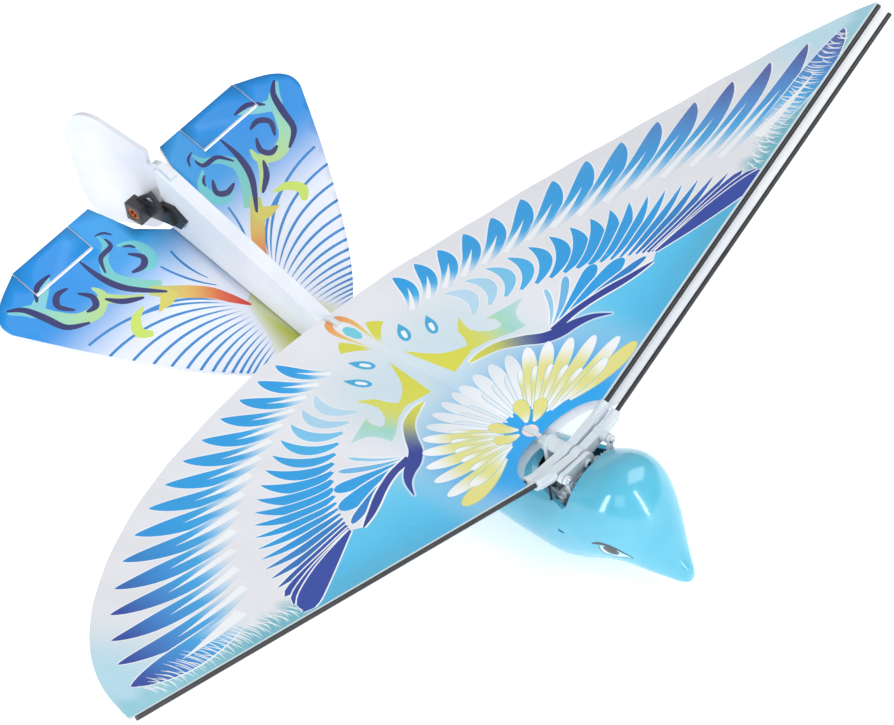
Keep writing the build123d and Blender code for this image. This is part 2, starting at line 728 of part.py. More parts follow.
with BuildPart() as rudder_wire:
    with BuildSketch(Plane.XY.offset(sleeve_low - 2.0)):
        with Locations((hinge_x, 0)):
            Circle(hinge_wire_r)
    extrude(amount=sleeve_high - sleeve_low + 4.2)
write(rudder_wire.part, "rudder_wire")

with BuildPart() as rudder_lugs:
    with BuildSketch(Plane.XZ.offset(-1.2)):
        with BuildLine():
            Polyline((-164.8, 63.2), (-164.8, 64.8), (-161.7, 65.4), (-156.5, 62.9), (-156.5, 61.8),
                     (-161.68, 64.24), (-161.7, 63.2), close=True)
        make_face()
        with BuildLine():
            Polyline((-164.8, sleeve_low - 1.9), (-164.8, sleeve_low - 0.4), (-161.99, sleeve_low - 0.4),
                     (-161.99, sleeve_low - 1.9), close=True)
        make_face()
    extrude(amount=2.4)
    with BuildSketch(Plane.XY):
        with Locations((hinge_x, 0)):
            Circle(hinge_wire_r + slack)
    extrude(amount=100, mode=Mode.SUBTRACT)
    add(keel.part, mode=Mode.SUBTRACT)
write(rudder_lugs.part, "rudder_lugs")

# ---------------------------------------------------------------- rudder actuator, right side of the keel
coil_x = -169.0
coil_z = 46.8
coil_y0 = -4.4               # the coil's face towards the fin
coil_r = 2.2
with BuildPart() as actuator_frame:
    # foot glued to the keel
    with BuildSketch(Plane.XZ.offset(stick_t / 2)):
        with BuildLine():
            Polyline((-161.4, 44.4), (-161.4, 51.6), (-156.0, 52.4), (-151.0, 48.4), (-153.5, 44.6), close=True)
        make_face()
    extrude(amount=1.5)
    # arm and square coil housing
    with BuildSketch(Plane.XZ.offset(-coil_y0 - 0.8)):
        with BuildLine():
            Polyline((-166.2, 44.6), (-166.2, 48.8), (-157.0, 51.0), (-155.0, 46.4), close=True)
        make_face()
    extrude(amount=1.8)
    with BuildSketch(Plane.XZ.offset(-coil_y0)):
        with Locations((coil_x, coil_z)):
            Rectangle(6.2, 6.6)
    extrude(amount=4.6)
    # three-cornered web above the arm
    with BuildSketch(Plane.XZ.offset(-coil_y0)):
        with BuildLine():
            Polyline((-170.6, 50.0), (-157.6, 49.4), (-163.4, 56.4), close=True)
        make_face()
        with BuildLine():
            Polyline((-167.2, 51.3), (-160.6, 51.0), (-163.5, 54.4), close=True)
        make_face(mode=Mode.SUBTRACT)
    extrude(amount=1.1)
    with BuildSketch(Plane.XZ.offset(-coil_y0)):
        with Locations((coil_x, coil_z)):
            Circle(coil_r + slack)
    extrude(amount=4.6, mode=Mode.SUBTRACT)
write(actuator_frame.part, "actuator_frame")

with BuildPart() as actuator_coil:
    with BuildSketch(Plane.XZ.offset(-coil_y0 + 0.2)):
        with Locations((coil_x, coil_z)):
            Circle(coil_r)
            Circle(coil_r - 0.8, mode=Mode.SUBTRACT)
    extrude(amount=4.2)
write(actuator_coil.part, "actuator_coil")

with BuildPart() as rudder_magnet:
    with BuildSketch(Plane.XZ.offset(fin_t / 2)):
        with Locations((coil_x, coil_z)):
            Circle(1.6)
    extrude(amount=1.0)
write(rudder_magnet.part, "rudder_magnet")

# ---------------------------------------------------------------- inside the pod
with BuildPart() as battery:
    with Locations((19.75, 0, 17.5)):
        Box(18.5, 6, 13)
    fillet(battery.edges().filter_by(Axis.X), 1.4)
write(battery.part, "battery")

with BuildPart() as receiver_board:
    with Locations((-25.0, 0, 19.9)):
        Box(22, 13, 0.8)
    # chip, crystal, smoothing capacitor
    with Locations((-22.0, 1.5, 20.8)):
        Box(5, 5, 1.2)
    with Locations((-30.0, -3.0, 20.9)):
        Box(3.2, 2.0, 1.4)
    with Locations((-30.5, 3.2, 21.3)):
        Cylinder(1.4, 2.2)
write(receiver_board.part, "receiver_board")

with BuildPart() as charging_socket:
    with Locations((socket_x, 0, 4.0)):
        Box(7.4, 3.8, 5.6)
    with Locations((socket_x, 0, 0.8)):
        Box(5.7, 2.1, 0.8)
    with Locations((socket_x, 0, 2.6)):
        Box(4.9, 1.3, 5.2, mode=Mode.SUBTRACT)
    with Locations((socket_x, 0, 3.4)):
        Box(3.6, 0.4, 3.6)
write(charging_socket.part, "charging_socket")

with BuildPart() as switch_body:
    with Locations((switch_x, 0, 2.9)):
        Box(9.0, 4.6, 3.4)
    with Locations((switch_x, 0, 2.2)):
        Box(7.2, 2.8, 2.0, mode=Mode.SUBTRACT)
write(switch_body.part, "switch_body")

with BuildPart() as switch_slider:
    # drawn at the off end; it travels 2 mm forward
    with Locations((switch_x - 1.0, 0, 1.2)):
        Box(2.6, 2.2, 1.8)
    with Locations((switch_x - 1.0, 0, 2.55)):
        Box(4.4, 2.6, 1.1)
write(switch_slider.part, "switch_slider")

with BuildPart() as pod_screws:
    for x, y, seat in pod_screws_at:
        with Locations((x, y, seat - 0.55)):
            Cylinder(1.3, 1.1)
        with Locations((x, y, seat + 4.0)):
            Cylinder(0.7, 8.0)
        with Locations((x, y, seat - 0.9)):
            Box(1.7, 0.35, 0.5, mode=Mode.SUBTRACT)
            Box(0.35, 1.7, 0.5, mode=Mode.SUBTRACT)
write(pod_screws.part, "pod_screws")

# ---------------------------------------------------------------- leads


def lead(points, radius):
    """A wire along straight runs joined by tangent arcs, each as large as its runs allow."""
    radii = []
    for before, here, after in zip(points, points[1:], points[2:]):
        run_in = (Vector(*here) - Vector(*before))
        run_out = (Vector(*after) - Vector(*here))
        turn = radians(run_in.get_angle(run_out))
        radii.append(0.45 * min(run_in.length, run_out.length) / tan(turn / 2))
    with BuildPart() as wire:
        with BuildLine():
            path = FilletPolyline(*points, radius=radii)
        with BuildSketch(Plane(origin=path @ 0, z_dir=path % 0)):
            Circle(radius)
        sweep(path=path)
    print("lead length", round(path.length, 1), "section check",
          round(wire.part.volume / (pi * radius ** 2 * path.length), 4), "radii", [round(r, 1) for r in radii])
    return wire.part


antenna_route = [(-17.0, -6.0, 20.8), (-13.6, -8.9, 20.9), (-9.2, -11.4, 21.8), (-5.4, -10.2, 24.2),
                 (-2.0, -9.4, 27.8), (-0.3, -11.2, 28.7), (1.0, -12.5, 29.1), (2.4, -13.8, 28.4)]
write(lead(antenna_route, 0.4), "antenna_lead")

# the upper shell gives way where the lead runs past it
with BuildPart() as pod_grooved:
    add(pod_upper.part)
    add(lead(antenna_route, 0.6), mode=Mode.SUBTRACT)
write(pod_grooved.part, "pod_upper")
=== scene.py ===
"""Looks of an electric flapping-wing bird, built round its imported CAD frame.

Metres in Blender, +X forward, +Y left, +Z up, origin on the belly flat.
The printed patterns are drawn in millimetres: a is the distance behind the lever axle, b is the
distance out from the centre line, so one drawing serves the left and the right side.
"""
import json
import math
from math import atan2, cos, pi, radians, sin, sqrt, tan

import bpy
from mathutils import Matrix, Vector
from mathutils.bvhtree import BVHTree
from mathutils.geometry import delaunay_2d_cdt


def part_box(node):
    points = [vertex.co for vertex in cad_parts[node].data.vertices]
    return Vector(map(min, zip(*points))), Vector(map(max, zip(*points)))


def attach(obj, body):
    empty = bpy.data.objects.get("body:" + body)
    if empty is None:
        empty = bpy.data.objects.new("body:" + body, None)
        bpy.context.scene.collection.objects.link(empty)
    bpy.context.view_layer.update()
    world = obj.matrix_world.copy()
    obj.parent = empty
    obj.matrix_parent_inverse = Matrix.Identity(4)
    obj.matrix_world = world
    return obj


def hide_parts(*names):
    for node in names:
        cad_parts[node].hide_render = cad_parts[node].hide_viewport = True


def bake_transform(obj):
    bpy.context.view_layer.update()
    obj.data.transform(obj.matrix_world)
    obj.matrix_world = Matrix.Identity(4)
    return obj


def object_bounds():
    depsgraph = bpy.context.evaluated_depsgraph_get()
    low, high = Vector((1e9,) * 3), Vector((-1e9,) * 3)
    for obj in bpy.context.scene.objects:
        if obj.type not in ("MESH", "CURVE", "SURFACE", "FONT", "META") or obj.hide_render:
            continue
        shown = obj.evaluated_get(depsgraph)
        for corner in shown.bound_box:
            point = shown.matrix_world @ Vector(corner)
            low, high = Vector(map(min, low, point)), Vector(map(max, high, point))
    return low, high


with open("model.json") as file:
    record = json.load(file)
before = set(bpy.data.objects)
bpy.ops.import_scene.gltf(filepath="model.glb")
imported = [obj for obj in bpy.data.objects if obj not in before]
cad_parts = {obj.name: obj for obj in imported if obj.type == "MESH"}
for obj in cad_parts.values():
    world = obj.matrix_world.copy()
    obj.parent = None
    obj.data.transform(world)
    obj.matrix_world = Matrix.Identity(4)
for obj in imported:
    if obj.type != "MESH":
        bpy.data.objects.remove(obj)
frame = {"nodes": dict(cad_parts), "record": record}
cad_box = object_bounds()
nodes = frame["nodes"]
MM = 0.001

# ---------------------------------------------------------------- driving sizes, millimetres
PIVOT_Z = 34.0
SLOPE = tan(radians(14.0))         # dihedral of the closed wings
SWEEP = tan(radians(4.05))         # how far the rods lean back
ROD_ROOT_B = 12.0
LOWER_DROP = 1.5
FILM_BACK = 99.0
FILM_HALF_WIDTH = 172.5
LOWER_SCALE = 0.91
TWIST_FROM = 3.5
TWIST = {"left": 0.0040, "right": 0.0010}
SIDE = {"left": 1, "right": -1}
NOTCH = (13.0, 19.8)
LOWER_NOTCH = (10.5, 18.4)
EDGE_BEHIND_ROD = 0.72             # the film's front edge, from its rod's centre
KEEL_TOUCH = 98.3                  # the films meet the keel's top edge here
TAIL_SLOPE = 0.36
TAIL_T = 1.55


# ---------------------------------------------------------------- colour


def rgb(red, green, blue):
    """Linear colour from the 0 to 255 values of a printed swatch."""
    swatch = (red, green, blue)
    return tuple(c / 255 / 12.92 if c < 11 else ((c / 255 + 0.055) / 1.055) ** 2.4 for c in swatch)


def mix(first, second, share):
    return tuple(p + (q - p) * share for p, q in zip(first, second))


def step(low, high, value):
    """0 below low, 1 above high and smooth between them."""
    t = min(1.0, max(0.0, (value - low) / (high - low)))
    return t * t * (3 - 2 * t)


def ramp(stops, value):
    """Colour at value on a list of (place, colour) stops."""
    for (p, first), (q, second) in zip(stops, stops[1:]):
        if value <= q:
            return mix(first, second, min(1.0, max(0.0, (value - p) / (q - p))))
    return stops[-1][1]


WHITE = rgb(232, 234, 240)
PURE = rgb(244, 247, 251)
PALE = rgb(196, 222, 234)
SKY = rgb(34, 160, 230)
CYAN = rgb(86, 194, 238)
DEEP = rgb(40, 70, 164)
VIOLET = rgb(44, 62, 150)
TEAL = rgb(104, 180, 198)
YELLOW = rgb(216, 216, 78)
LEMON = rgb(226, 224, 142)
MINT = rgb(160, 218, 202)
ORANGE = rgb(238, 150, 82)
NAVY = rgb(14, 20, 98)
TAIL_BLUE = rgb(16, 138, 220)
LINE_BLUE = rgb(22, 124, 196)


# ---------------------------------------------------------------- drawing


def bezier(*points):
    """A curve of one span with these control points, as a function of 0 to 1."""
    def at(t):
        row = list(points)
        while len(row) > 1:
            row = [(p[0] + (q[0] - p[0]) * t, p[1] + (q[1] - p[1]) * t) for p, q in zip(row, row[1:])]
        return row[0]
    return at


def through(*points):
    """A smooth curve through these points, as a function of 0 to 1."""
    n = len(points) - 1

    def at(t):
        k = min(int(t * n), n - 1)
        s = t * n - k
        p0, p1, p2, p3 = (points[min(max(k + j, 0), n)] for j in (-1, 0, 1, 2))
        return tuple(0.5 * (2 * q1 + (q2 - q0) * s + (2 * q0 - 5 * q1 + 4 * q2 - q3) * s * s
                            + (3 * q1 - q0 - 3 * q2 + q3) * s ** 3) for q0, q1, q2, q3 in zip(p0, p1, p2, p3))
    return at


def widths(*values):
    """Width along a stroke, straight between these values."""
    n = len(values) - 1

    def at(t):
        k = min(int(t * n), n - 1)
        return values[k] + (values[k + 1] - values[k]) * (t * n - k)
    return at


def blade(width, fullest=0.6, root=0.5, roundness=0.5):
    """Width of a feather: part of it at the root, all of it at fullest, closing to its tip."""
    def at(t):
        if t < fullest:
            return width * (root + (1 - root) * sin(t / fullest * pi / 2))
        return width * max(0.0, 1 - ((t - fullest) / (1 - fullest)) ** 2) ** roundness
    return at


def ribbon(path, width, count=14, ease=1.0):
    """Outline of a stroke of changing width along a path."""
    left, right = [], []
    for k in range(count + 1):
        t = 1 - (1 - k / count) ** ease
        a, b = path(t)
        before, after = path(max(0.0, t - 0.01)), path(min(1.0, t + 0.01))
        da, db = after[0] - before[0], after[1] - before[1]
        size = math.hypot(da, db) or 1.0
        half = width(t) / 2
        left.append((a - db / size * half, b + da / size * half))
        if half > 0.02:
            right.append((a + db / size * half, b - da / size * half))
    return left + right[::-1]


def bowed(start, end, sag):
    """A path from start to end whose middle stands sag to the left of the straight line."""
    da, db = end[0] - start[0], end[1] - start[1]
    size = math.hypot(da, db)
    middle = ((start[0] + end[0]) / 2 - db / size * sag * 2, (start[1] + end[1]) / 2 + da / size * sag * 2)
    return bezier(start, middle, end)


def shape(points, colour, alpha=None):
    """One printed shape: its outline, and its colour and cover, which may change over it."""
    plain = colour if callable(colour) else lambda a, b: colour
    return {"points": points, "colour": plain, "alpha": alpha or (lambda a, b: 1.0)}


def away(point, near, far):
    """Cover that grows from 0 at near to 1 at far away from a point."""
    return lambda a, b: step(near, far, math.hypot(a - point[0], b - point[1]))


def along(start, end, stops):
    """Colour that changes along the straight line from start to end."""
    da, db = end[0] - start[0], end[1] - start[1]
    size2 = da * da + db * db
    return lambda a, b: ramp(stops, ((a - start[0]) * da + (b - start[1]) * db) / size2)


def ring(centre, radius_a, radius_b, count=20, turn=0.0):
    points = []
    for k in range(count):
        t = 2 * pi * k / count
        p, q = radius_a * cos(t), radius_b * sin(t)
        points.append((centre[0] + p * cos(turn) - q * sin(turn), centre[1] + p * sin(turn) + q * cos(turn)))
    return points


# ---------------------------------------------------------------- the wings' print


def outer_feathers():
    """Fifteen flight feathers between an inner and an outer ellipse, with a white slit at each root."""
    made = []
    for n in range(15):
        angle = radians(9.2 + 3.0 * n + 0.135 * n * n)
        tip = (96 * cos(angle), 165 * sin(angle))
        root_angle = angle - radians(0.02 * n * n * 0.6)
        root = (80.5 * cos(root_angle), 116 * sin(root_angle))
        last = n == 14
        if last:
            root = (21.0, 117.5)
        width = 11.5 if last else min(7.6, 4.9 + 0.33 * n)
        length = math.hypot(tip[0] - root[0], tip[1] - root[1])
        path = bowed(root, tip, length * (0.06 if last else 0.14 - 0.005 * n))
        profile = blade(width, 0.55, 0.62, 0.75)
        outer = mix(SKY, DEEP, step(7, 11.5, n))
        middle = mix(SKY, rgb(58, 138, 212), step(7, 12, n))
        colour = along(root, tip, [(0.0, CYAN), (0.35, mix(SKY, CYAN, 0.3)), (0.62, middle), (0.92, outer)])
        cover = away(root, 0.03 * length, 0.42 * length)
        made.append(shape(ribbon(path, lambda t: profile(t) + 1.0, 12, 1.5), PURE, cover))
        made.append(shape(ribbon(path, profile, 14, 1.6), colour, cover))
        slit = bezier(path(0.0), path(0.3), path(0.6))
        made.append(shape(ribbon(slit, widths(width * 0.34, width * 0.24, 0.0), 6), PURE))
    return made


def coverts():
    """Nineteen smaller feathers: crescents near the body, straight blades fanning out to the tip."""
    made = []
    for n in range(19):
        angle = radians(15.6 + 3.83 * n + 3.0 * sin(pi * n / 18))
        tip = (79 * cos(angle), 107 * sin(angle))
        root_angle = radians(21 + 48 * (1 - (1 - n / 18) ** 1.7))
        root = (66 * cos(root_angle), 75 * sin(root_angle))
        sag = 4.4 - 3.2 * step(6, 12, n) - 2.2 * step(14, 18, n)
        width = 4.2 + 1.0 * step(3, 7, n) - 2.4 * step(7, 11, n)
        width += 1.6 * step(14, 17, n) + 2.6 * step(16.5, 18, n)
        path = bowed(root, tip, sag)
        wide = n > 15
        profile = blade(width, 0.78, 0.12, 0.5) if wide else blade(width, 0.5, 0.3, 0.95)
        tone = mix(mix(CYAN, SKY, step(1, 5, n)), DEEP, step(11, 16, n))
        base = mix(tone, DEEP, 0.3 * step(9, 13, n))
        strength = 0.45 + 0.55 * step(0, 3, n)
        halo = 0.9 if n > 8 else 0.7
        made.append(shape(ribbon(path, lambda t: profile(t) + halo, 12), PURE, lambda a, b, s=strength: s))
        made.append(shape(ribbon(path, profile, 14), along(root, tip, [(0.1, base), (0.8, tone)]),
                          lambda a, b, s=strength: s))
    return made


HUB = (35.6, 33.4)


def shell():
    """Leaves of the scallop that fan out from the hub, the last of them violet."""
    ends = [((48.0, 45.0), 1.6, 1.2), ((45.4, 51.8), 2.6, 1.2), ((40.0, 59.4), 4.8, 1.0),
            ((32.6, 64.8), 5.6, 0.4), ((25.4, 67.4), 2.8, -0.8)]
    made = []
    for n, (end, width, sag) in enumerate(ends):
        start = (HUB[0] + 1.2 - 0.7 * n, HUB[1] + 0.6 + 0.5 * n)
        path = bowed(start, end, sag)
        profile = blade(width, 0.82, 0.12, 0.5)
        tone = mix(mix(CYAN, WHITE, 0.3), SKY, step(0, 2, n))
        made.append(shape(ribbon(path, lambda t: profile(t) + 1.0, 12, 1.4), PURE))
        made.append(shape(ribbon(path, profile, 14, 1.5), mix(tone, DEEP, 0.45 if n == 4 else 0.0)))
    return made


def tribal():
    """The curl from yellow to violet that ends in a spur and in the scallop's last leaf."""
    stops = [(0.0, YELLOW), (0.42, rgb(196, 200, 92)), (0.72, rgb(120, 136, 150)), (1.0, VIOLET)]
    colour = along((49.0, 10.0), (36.0, 29.0), stops)
    main = through((49.3, 10.4), (48.6, 14.6), (46.0, 20.6), (40.6, 25.6), (35.6, 29.2), (32.4, 33.6),
                   (30.0, 38.2), (26.4, 42.4), (20.9, 45.8))
    body = widths(0.3, 2.4, 3.4, 3.8, 4.2, 4.4, 3.4, 2.0, 0.0)
    branch = through((34.6, 33.0), (33.4, 41.0), (29.6, 50.6), (25.0, 59.6), (21.8, 66.4))
    leaf = widths(3.0, 2.4, 2.4, 2.8, 2.0, 0.4)
    made = [shape(ribbon(branch, lambda t: leaf(t) + 1.2, 16), PURE),
            shape(ribbon(main, lambda t: body(t) + 1.2, 24), PURE, lambda a, b: step(17, 6, b) * 0.5 + 0.5),
            shape(ribbon(branch, leaf, 18), VIOLET), shape(ribbon(main, body, 26), colour)]
    return made


def yellow_leaves():
    """The angular yellow leaf and its green arms, the small leaf behind it and the two drops."""
    blade_edge = through((70.6, 3.0), (65.6, 5.2), (60.0, 8.4), (57.0, 11.4), (54.6, 15.6))
    arm_back = through((54.6, 15.6), (57.4, 17.6), (61.4, 19.0), (65.0, 23.6))
    arm_front = through((65.0, 23.6), (59.6, 21.4), (55.6, 22.0), (51.6, 24.8), (50.8, 27.6))
    spike = through((50.8, 27.6), (54.0, 28.4), (57.0, 27.4))
    tail_edge = through((57.0, 27.4), (55.2, 31.6), (52.0, 39.6))
    under = through((52.0, 39.6), (50.6, 34.0), (47.0, 31.4), (43.6, 30.8))
    front = through((43.6, 30.8), (45.8, 26.6), (50.0, 20.8), (52.2, 15.0))
    corner = through((52.2, 15.0), (51.6, 11.6), (50.8, 5.4))
    straight = through((50.8, 5.4), (60.0, 4.2), (70.6, 3.0))
    points = []
    for edge in (blade_edge, arm_back, arm_front, spike, tail_edge, under, front, corner, straight):
        points += [edge(k / 6) for k in range(6)]
    stops = [(0.0, YELLOW), (0.3, rgb(214, 218, 110)), (0.62, MINT), (1.0, PALE)]
    colour = along((56.0, 14.0), (46.0, 37.0), stops)
    made = [shape(points, colour, away((72.0, 2.0), 0.0, 5.0))]
    small = [bezier((76.6, 1.6), (81.0, 1.8), (87.6, 5.8)), bezier((87.6, 5.8), (86.6, 8.2), (83.4, 9.6)),
             bezier((83.4, 9.6), (81.8, 5.6), (76.6, 1.6))]
    made.append(shape([edge(k / 6) for edge in small for k in range(6)], YELLOW, away((77.0, 1.8), 0.0, 4.0)))
    for tip, round_end, size in (((79.0, 11.4), (71.4, 7.4), 3.8), ((74.2, 18.8), (66.4, 14.4), 3.6)):
        path = bezier(tip, ((tip[0] + round_end[0]) / 2, (tip[1] + round_end[1]) / 2), round_end)
        drop = blade(size, 0.62, 0.02, 0.5)
        made.append(shape(ribbon(path, drop, 14, 1.4), rgb(66, 172, 218)))
        inner = bezier(path(0.42), path(0.6), path(0.84))
        made.append(shape(ribbon(inner, lambda t: drop(0.3 + 0.68 * t) * 0.42, 8, 1.3), PURE))
    return made


def ornament():
    """Half of the orange and blue eye on the centre line, by the film's back edge."""
    path = through((96.4, -0.4), (95.4, 2.2), (91.6, 3.5), (86.0, 3.0), (79.6, 1.6))
    stops = [(0.0, ORANGE), (0.45, rgb(236, 182, 112)), (0.8, rgb(224, 220, 120))]
    colour = along((97.0, 0.0), (80.0, 1.6), stops)
    drop = [(91.4, -0.5), (91.0, 1.0), (88.6, 2.0), (85.2, 1.5), (83.8, 0.4), (83.6, -0.5)]
    return [shape(ribbon(path, widths(2.6, 2.6, 1.9, 1.1, 0.0), 14), colour), shape(drop, rgb(112, 206, 224))]


def flower():
    """Half of the daisy round the cut-out: white outer petals, yellow ones inside them."""
    centre = (16.5, 0.0)
    made = []

    def petal(angle, inner, outer, width, colour, edge):
        start = (centre[0] + inner * cos(angle), inner * sin(angle))
        end = (centre[0] + outer * cos(angle), outer * sin(angle))
        path = bowed(start, end, 0.7)
        profile = blade(width, 0.7, 0.16, 0.5)
        made.append(shape(ribbon(path, lambda t: profile(t) + 0.35, 12, 1.4), edge))
        made.append(shape(ribbon(path, profile, 12, 1.5), colour(start, end)))

    def white(start, end):
        return along(start, end, [(0.0, PURE), (1.0, rgb(222, 230, 238))])

    def half_yellow(start, end):
        return along(start, end, [(0.05, PURE), (0.4, LEMON), (0.62, LEMON), (0.86, PURE)])

    def yellow(start, end):
        return along(start, end, [(0.0, PURE), (0.35, LEMON), (1.0, rgb(230, 222, 132))])

    edge_blue = rgb(118, 190, 226)
    for n in range(9):
        angle = radians(3.0 + 11.4 * n)
        petal(angle, 9.0, 29.5 + 0.16 * n * n, 4.5, white if n < 4 else half_yellow, edge_blue)
        if n < 8:
            petal(angle + radians(5.7), 8.0, 22.0 + 0.5 * n, 3.0, half_yellow if n > 2 else white, edge_blue)
    petal(radians(103.0), 15.0, 41.0, 5.2, yellow, rgb(196, 196, 120))
    petal(radians(98.0), 13.0, 32.0, 3.6, half_yellow, edge_blue)
    petal(radians(30.0), 3.6, 12.5, 4.6, yellow, rgb(150, 190, 150))
    petal(radians(66.0), 3.6, 12.0, 4.2, yellow, rgb(150, 190, 150))
    made.append(shape(ring(centre, 2.5, 2.5), rgb(240, 226, 226)))
    return made


def rod_line(b, front):
    """How far behind the axle the film's front edge is, at a distance b out."""
    return front + SWEEP * (b - ROD_ROOT_B)


def field(front):
    """The blue ground ahead of the scallop, and the hem that wraps the rod."""
    edge = through((4.2, 107.4), (9.0, 100.4), (15.4, 90.0), (20.8, 79.4), (23.6, 71.2), (22.0, 66.8))
    scallop = through((22.0, 66.8), (25.0, 59.6), (29.6, 50.6), (33.0, 41.0), (33.0, 34.0), (38.0, 27.6),
                      (44.0, 23.0), (48.0, 16.0), (52.0, 6.0), (60.0, -1.0))
    points = [(-16, -1), (-16, 107.4)]
    points += [edge(k / 12) for k in range(12)] + [scallop(k / 20) for k in range(21)]

    def colour(a, b):
        lead = a - rod_line(b, front)
        stops = [(0.0, rgb(70, 180, 230)), (14.0, rgb(86, 196, 240)), (34.0, rgb(112, 206, 240))]
        open_field = ramp(stops, lead)
        by_flower = mix(rgb(36, 164, 236), PALE, step(20, 46, math.hypot(a - 14, b * 0.9)))
        near = mix(by_flower, open_field, step(26, 50, b))
        banded = mix(near, rgb(92, 176, 204), 0.6 * step(12, 1, lead) * step(30, 80, b))
        return mix(banded, PALE, 0.55 * step(26, 44, a) * step(44, 22, b))

    def cover(a, b):
        return step(58, 40, a)

    hem = bezier(*((rod_line(b, front) + 0.2, b) for b in (4, 100, 176)))
    return [shape(points, colour, cover)], [shape(ribbon(hem, lambda t: 1.3, 40), rgb(214, 230, 236))]


def hairs(front):
    """Fine white strokes that comb the teal band along the rod, out to the tip."""
    made = []
    for n in range(58):
        b = 106.0 + 0.93 * n
        lift = 1.0 + 0.35 * sin(n * 2.4) + 0.25 * sin(n * 5.1)
        reach = 3.4 + 5.4 * sin(pi * min(1.0, n / 62.0)) ** 0.6 * lift
        a = rod_line(b, front) + 2.4 + 1.2 * sin(n * 1.7)
        path = bowed((a, b), (a + reach, b + 1.2 + 1.2 * sin(n * 3.3)), -0.6)
        made.append(shape(ribbon(path, widths(0.08, 0.42, 0.5, 0.1), 4), PURE, lambda a, b: 0.85))
    return made


def wing_ground(front):
    """White film, bluish near the body, pale blue at the tip, teal along the rod."""
    def colour(a, b):
        base = mix(mix(WHITE, PALE, 0.75 * step(92, 62, a) * step(46, 14, b)), WHITE, step(28, 50, b))
        tip = mix(base, rgb(186, 226, 242), step(134, 160, b) * step(64, 30, a))
        lead = a - rod_line(b, front)
        ragged = 7.2 + 1.0 * sin(b * 0.83) + 0.7 * sin(b * 2.1)
        band = mix(TEAL, rgb(150, 206, 222), step(120, 168, b))
        return mix(tip, band, 0.95 * step(ragged + 3.2, ragged - 3.4, lead))
    return colour


def wing_print(front):
    ground, hem = field(front)
    return ground + outer_feathers() + coverts() + shell() + yellow_leaves() + tribal() + ornament() \
        + hairs(front) + flower() + hem


# ---------------------------------------------------------------- printed sheets


def signed_area(points):
    return sum(p[0] * q[1] - q[0] * p[1] for p, q in zip(points, points[1:] + points[:1])) / 2


def anticlockwise(points):
    return points if signed_area(points) > 0 else points[::-1]


def printed_mesh(name, outline, shapes, ground, place, grid=4.0, flip=False):
    """A mesh cut along every printed edge, so that the print stays sharp, with its colours on its corners.

    outline, shapes and ground are in the drawing's plane; place(a, b) is the point in millimetres.
    With ground None only what a shape covers is made."""
    faces, points = [], []
    for drawn in [outline] + [s["points"] for s in shapes]:
        loop = anticlockwise(drawn)
        faces.append(list(range(len(points), len(points) + len(loop))))
        points += [Vector(p) for p in loop]
    low_a, high_a = min(p[0] for p in outline), max(p[0] for p in outline)
    low_b, high_b = min(p[1] for p in outline), max(p[1] for p in outline)
    for i in range(1, int((high_a - low_a) / grid) + 1):
        for j in range(1, int((high_b - low_b) / grid) + 1):
            points.append(Vector((low_a + i * grid + (j % 2) * grid / 2, low_b + j * grid)))
    verts, _, tris, _, _, held = delaunay_2d_cdt(points, [], faces, 0, 1e-4)
    used, corners, colours = {}, [], []
    for tri, inside in zip(tris, held):
        over = sorted(k - 1 for k in inside if k > 0)
        if 0 not in inside or (ground is None and not over):
            continue
        centre = [sum(verts[v][k] for v in tri) / 3 for k in (0, 1)]
        if abs((verts[tri[1]] - verts[tri[0]]).cross(verts[tri[2]] - verts[tri[0]])) < 1e-7:
            continue
        row = [used.setdefault(v, len(used)) for v in tri]
        corners.append(row[::-1] if flip else row)
        shades = []
        for v in tri:
            # a hair inside the triangle, so that each side of an edge keeps its own colour
            a, b = (verts[v][k] + (centre[k] - verts[v][k]) * 0.02 for k in (0, 1))
            shade = ground(a, b) if ground else shapes[over[0]]["colour"](a, b)
            for k in over:
                shade = mix(shade, shapes[k]["colour"](a, b), shapes[k]["alpha"](a, b))
            shades.append((*shade, 1.0))
        colours += shades[::-1] if flip else shades
    order = sorted(used, key=used.get)
    mesh = bpy.data.meshes.new(name)
    mesh.from_pydata([Vector(place(*verts[v])) * MM for v in order], [], corners)
    layer = mesh.color_attributes.new("print", "FLOAT_COLOR", "CORNER")
    layer.data.foreach_set("color", [c for shade in colours for c in shade])
    mesh.polygons.foreach_set("use_smooth", [True] * len(mesh.polygons))
    obj = bpy.data.objects.new(name, mesh)
    bpy.context.scene.collection.objects.link(obj)
    return obj


def meet(front, size, low, high):
    """Distance out at which the front edge meets an ellipse (size) between low and high."""
    for _ in range(40):
        b = (low + high) / 2
        outside = (rod_line(b, front) / size[0]) ** 2 + (b / size[1]) ** 2 > 1
        low, high = (low, b) if outside else (b, high)
    return low


def film_outline(front, scale, notch):
    """Half a wing film: along the centre line, round the back edge, down the rod and round the notch."""
    back = (FILM_BACK * scale, FILM_HALF_WIDTH)
    tip_b = meet(front, back, 100, FILM_HALF_WIDTH)
    tip_angle = atan2(tip_b / back[1], sqrt(1 - (tip_b / back[1]) ** 2))
    root_b = meet(front, notch, 2, notch[1])
    root_angle = atan2(root_b / notch[1], sqrt(max(0.0, 1 - (root_b / notch[1]) ** 2)))
    rear = min(KEEL_TOUCH, back[0] - 0.5)
    points = [(rear, 0.0)]
    rear_turns = (0.012 + (tip_angle - 0.012) * k / 90 for k in range(91))
    points += [(back[0] * cos(t), back[1] * sin(t)) for t in rear_turns]
    points += [(rod_line(b, front), b) for b in (tip_b + (root_b - tip_b) * k / 50 for k in range(1, 50))]
    points += [(notch[0] * cos(t), notch[1] * sin(t)) for t in (root_angle * (1 - k / 16) for k in range(16))]
    points.append((notch[0], 0.0))
    return points


